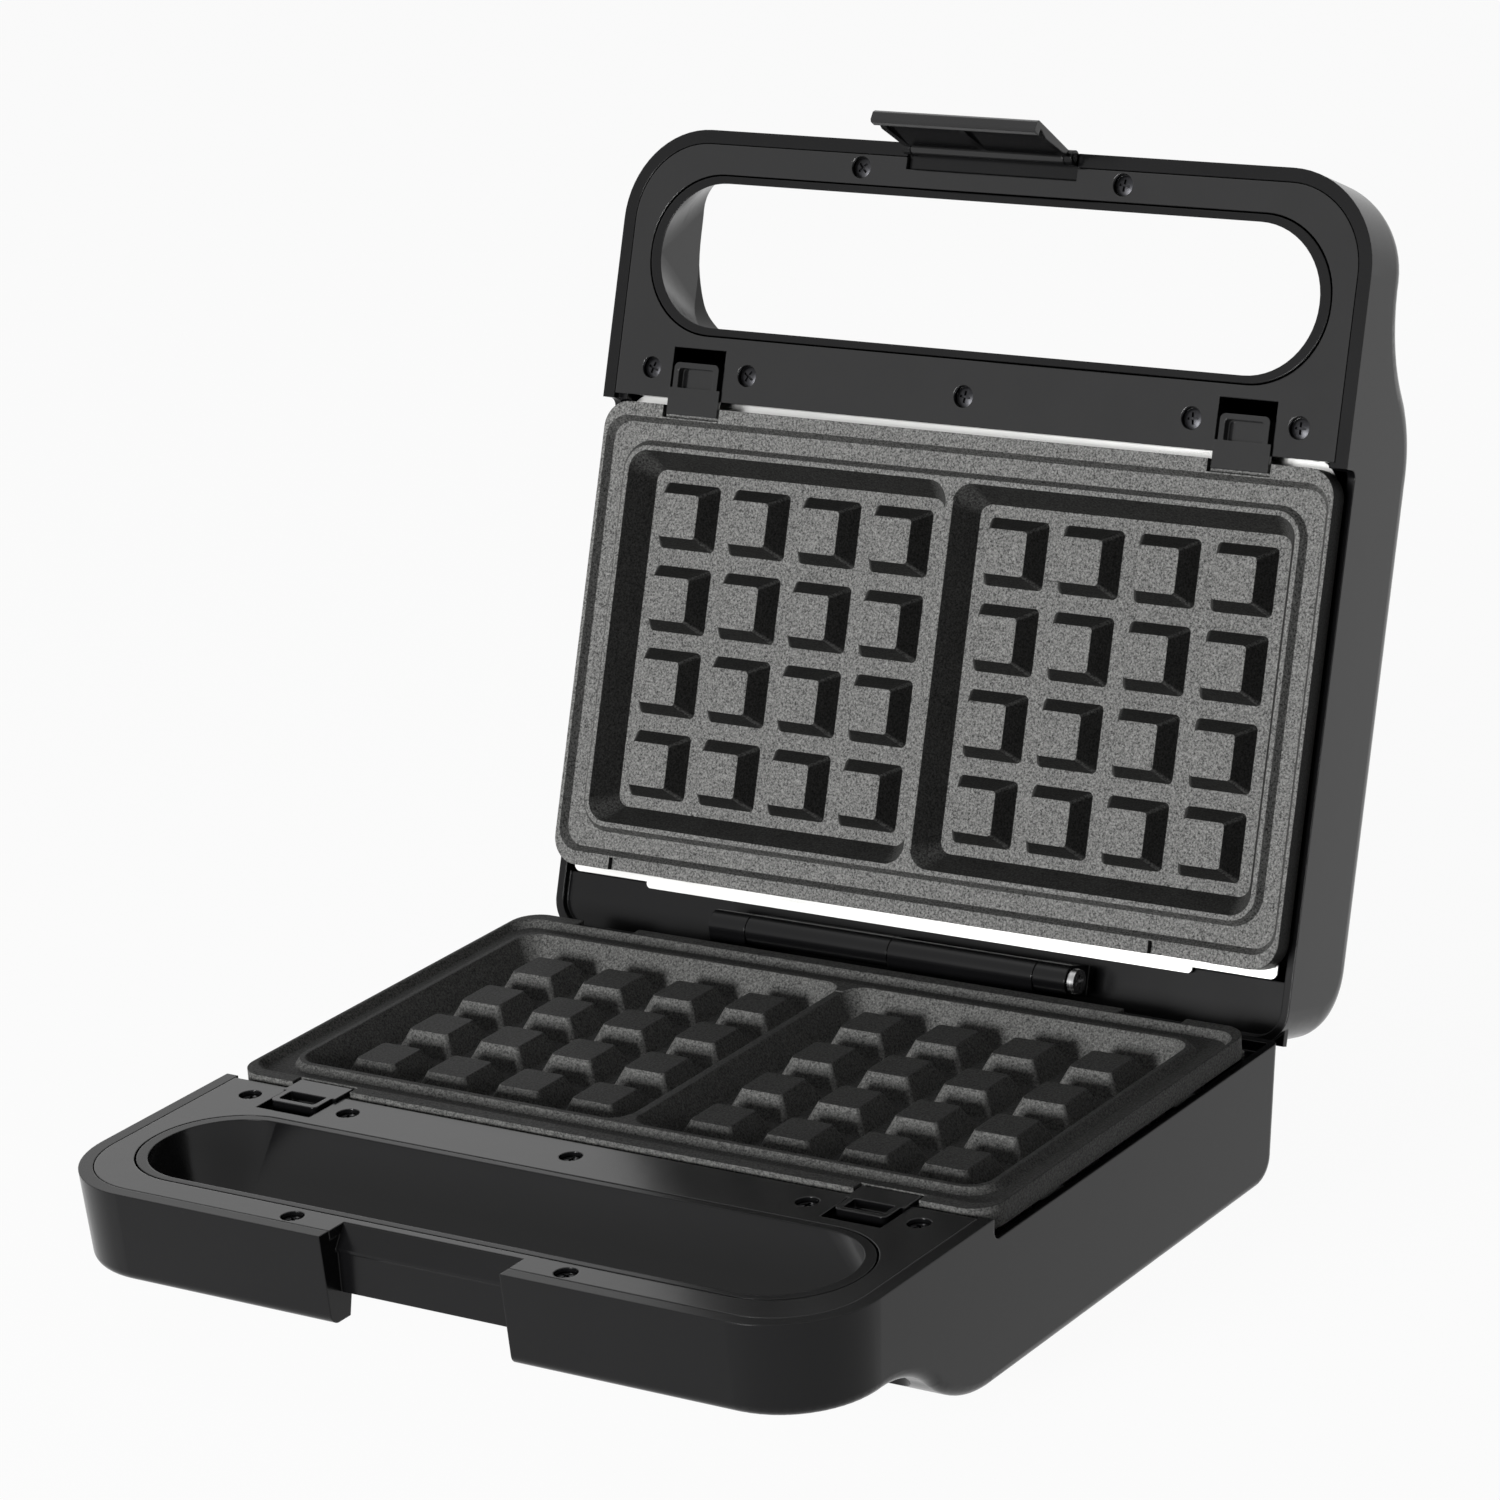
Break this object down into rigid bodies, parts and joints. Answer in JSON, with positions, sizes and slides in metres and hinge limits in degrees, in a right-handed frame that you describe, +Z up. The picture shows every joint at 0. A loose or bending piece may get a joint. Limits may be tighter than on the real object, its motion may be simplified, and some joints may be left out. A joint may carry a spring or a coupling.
{
  "type": "sandwich waffle maker",
  "caption": "Hinged countertop cooker for waffle sandwiches, with deep studded plates, slotted carry grips, release sliders and a lid latch",
  "frame": {"origin": "bottom centre of the open cooker's box, on the floor", "axes": "+X to the cooker's right as seen from the front, +Y from the grips to the hinge, +Z up"},
  "size_m": [0.2426, 0.3227, 0.2751],
  "materials": {
    "black_plastic": "moulded, glossy",
    "coated_aluminium": "speckled non-stick coating",
    "bright_metal": "bright pressed sheet",
    "element_steel": "heat-dulled",
    "screw_steel": "dark plated",
    "foot_rubber": "matte",
    "gland_rubber": "matte",
    "ceramic_plastic": "matte",
    "wire_plastic": "matte sleeve",
    "red_lens": "clear red",
    "green_lens": "clear green",
    "lamp_glass": "clear"
  },
  "bodies": {
    "base": {"base_housing": "black_plastic", "base_handle_frame": "black_plastic", "base_frame_screws": "screw_steel", "lower_waffle_plate": "coated_aluminium", "lower_reflector_tray": "bright_metal", "lower_heating_element": "element_steel", "lower_element_clips": "element_steel", "hinge_pin": "bright_metal", "hinge_screw": "screw_steel", "base_feet": "foot_rubber", "cord_gland": "gland_rubber", "base_thermostat": "bright_metal", "thermal_fuse": "ceramic_plastic", "terminal_block": "ceramic_plastic", "base_wiring": "wire_plastic"},
    "lid": {"lid_housing": "black_plastic", "lid_handle_frame": "black_plastic", "lid_frame_screws": "screw_steel", "upper_waffle_plate": "coated_aluminium", "upper_reflector_tray": "bright_metal", "upper_heating_element": "element_steel", "upper_element_clips": "element_steel", "power_lens": "red_lens", "ready_lens": "green_lens", "indicator_lamps": "lamp_glass", "lid_thermostat": "bright_metal", "lid_wiring": "wire_plastic", "latch_pin": "bright_metal"},
    "latch": {"lid_latch": "black_plastic"},
    "lower_left_release": {"lower_left_release": "black_plastic"},
    "lower_right_release": {"lower_right_release": "black_plastic"},
    "upper_left_release": {"upper_left_release": "black_plastic"},
    "upper_right_release": {"upper_right_release": "black_plastic"}
  },
  "joints": [
    {"name": "lid_hinge", "type": "hinge", "parent": "base", "child": "lid", "pos_m": [0, 0.0635, 0.0506], "axis": [1, 0, 0], "range_deg": [0, 109.8]},
    {"name": "latch_pivot", "type": "hinge", "parent": "lid", "child": "latch", "pos_m": [0, 0.13798, 0.26133], "axis": [1, 0, 0], "range_deg": [-65, 29.3]},
    {"name": "lower_left_release_slide", "type": "slide", "parent": "base", "child": "lower_left_release", "axis": [0, -1, 0], "range_m": [0, 0.004], "stiffness_N_per_m": 400, "springref_m": -0.002},
    {"name": "lower_right_release_slide", "type": "slide", "parent": "base", "child": "lower_right_release", "axis": [0, -1, 0], "range_m": [0, 0.004], "stiffness_N_per_m": 400, "springref_m": -0.002},
    {"name": "upper_left_release_slide", "type": "slide", "parent": "lid", "child": "upper_left_release", "axis": [0, 0.3387, 0.9409], "range_m": [0, 0.004], "stiffness_N_per_m": 400, "springref_m": -0.002},
    {"name": "upper_right_release_slide", "type": "slide", "parent": "lid", "child": "upper_right_release", "axis": [0, 0.3387, 0.9409], "range_m": [0, 0.004], "stiffness_N_per_m": 400, "springref_m": -0.002}
  ]
}
